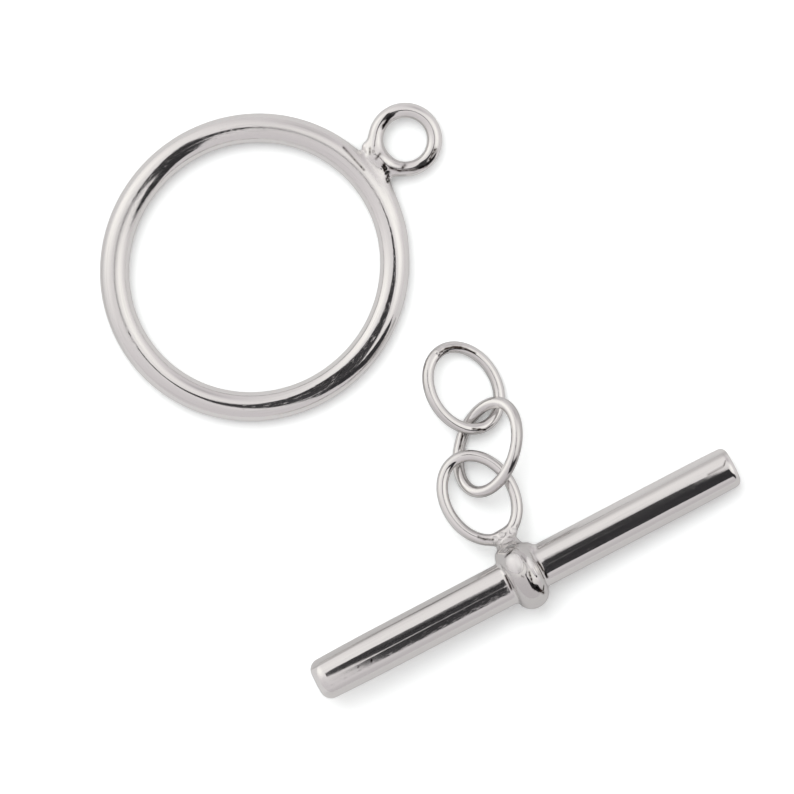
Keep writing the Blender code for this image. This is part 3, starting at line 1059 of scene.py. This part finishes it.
def make_light(scene):
    world = bpy.data.worlds.new("studio")
    world.use_nodes = True
    nodes = Nodes(world.node_tree)
    direction = nodes.node("ShaderNodeTexCoord")
    brightness = DOME_BRIGHTNESS
    for glow in GLOWS:
        towards = nodes.node(
            "ShaderNodeVectorMath", {"operation": "DOT_PRODUCT"},
            {0: direction, 1: sky_direction(glow.away, glow.bearing)}, output="Value")
        tightness = 1 / math.radians(glow.spread) ** 2
        brightness = ((towards - 1) * tightness).exponent() * glow.brightness + brightness
    warmth = nodes.node(
        "ShaderNodeMapRange", {},
        {"Value": brightness, "From Min": DOME_BRIGHTNESS, "From Max": WARM_BRIGHTNESS})
    tint = nodes.node(
        "ShaderNodeMix", {"data_type": "RGBA"}, {"Factor": warmth, 6: (*COOL_TINT, 1), 7: (*WARM_TINT, 1)},
        output=2)
    nodes.fill(world.node_tree.nodes["Background"], {"Color": tint, "Strength": brightness})
    scene.world = world

    lamp = bpy.data.lights.new("soft key", "SUN")
    lamp.energy = LAMP_STRENGTH
    lamp.angle = math.radians(LAMP_SPREAD)
    key = bpy.data.objects.new("soft key", lamp)
    key.rotation_euler = sky_direction(LAMP_AWAY, LAMP_BEARING).to_track_quat("Z", "Y").to_euler()
    key.visible_glossy = False
    scene.collection.objects.link(key)


def make_dark_card(scene):
    """The card is hidden from the camera and casts no shadow, so only the silver shows it."""
    mesh = bpy.data.meshes.new("dark card")
    points = []
    for row in DARK_CARD:
        for along, aside in (row[:2], row[2:]):
            bearing = CARD_BEARING + math.degrees(math.atan2(aside, along))
            points.append(sky_direction(math.hypot(along, aside), bearing) * CARD_DISTANCE)
    faces = [(2 * i, 2 * i + 1, 2 * i + 3, 2 * i + 2) for i in range(len(DARK_CARD) - 1)]
    mesh.from_pydata(points, [], faces)
    card = bpy.data.objects.new("dark_card", mesh)
    material = bpy.data.materials.new("black card")
    material.use_nodes = True
    nodes = Nodes(material.node_tree)
    shader = nodes.tree.nodes["Principled BSDF"]
    nodes.fill(shader, {"Base Color": (*CARD_COLOUR, 1), "Roughness": CARD_ROUGHNESS})
    mesh.materials.append(material)
    card.visible_camera = False
    card.visible_shadow = False
    scene.collection.objects.link(card)


def make_camera(scene):
    camera = bpy.data.objects.new("camera", bpy.data.cameras.new("camera"))
    camera.data.lens = LENS
    camera.data.sensor_width = SENSOR
    camera.data.clip_start = NEAREST_SEEN
    camera.location = (*VIEW_MIDDLE, VIEW_HEIGHT + VIEW_WIDTH * LENS / SENSOR)
    scene.collection.objects.link(camera)
    scene.camera = camera


class CLASP_OT_stage(bpy.types.Operator):
    """Makes the pale floor, the soft light, the dark card overhead and the camera straight above"""
    bl_idname = "clasp.stage"
    bl_label = "Stage"

    def execute(self, context):
        make_floor(context.scene)
        make_light(context.scene)
        make_dark_card(context.scene)
        make_camera(context.scene)
        context.scene.view_settings.view_transform = "Standard"
        return {"FINISHED"}


# The add-on

# Each group of settings, the title of its box in the sidebar, and the operator that its box lists
Section = namedtuple("Section", "title group operator")
SECTIONS = {
    "clasp_ring": Section("Ring", RingSettings, CLASP_OT_toggle_ring),
    "clasp_bar": Section("Bar", BarSettings, CLASP_OT_toggle_bar),
    "clasp_link": Section("Links", LinkSettings, CLASP_OT_loose_links),
    "clasp_silver": Section("Silver", SilverSettings, None),
    "clasp_stage": Section("Stage", StageSettings, CLASP_OT_stage),
}


class CLASP_PT_sidebar(bpy.types.Panel):
    """Lists the clasp's settings and the pieces that it is made of"""
    bl_idname = "CLASP_PT_sidebar"
    bl_label = "Toggle clasp"
    bl_space_type = "VIEW_3D"
    bl_region_type = "UI"
    bl_category = "Clasp"

    def draw(self, context):
        for name, section in SECTIONS.items():
            box = self.layout.box()
            box.label(text=section.title)
            settings = getattr(context.scene, name)
            for key in settings.__annotations__:
                box.prop(settings, key)
            if section.operator:
                box.operator(section.operator.bl_idname)


CLASSES = (
    *(section.group for section in SECTIONS.values()),
    *(section.operator for section in SECTIONS.values() if section.operator),
    CLASP_PT_sidebar,
)


def register():
    for cls in CLASSES:
        bpy.utils.register_class(cls)
    for name, section in SECTIONS.items():
        setattr(bpy.types.Scene, name, bpy.props.PointerProperty(type=section.group))


def unregister():
    for name in SECTIONS:
        delattr(bpy.types.Scene, name)
    for cls in reversed(CLASSES):
        bpy.utils.unregister_class(cls)


def main():
    register()
    bpy.ops.clasp.toggle_ring()
    bpy.ops.clasp.toggle_bar()
    bpy.ops.clasp.loose_links()
    bpy.ops.clasp.stage()


if __name__ == "__main__":
    main()
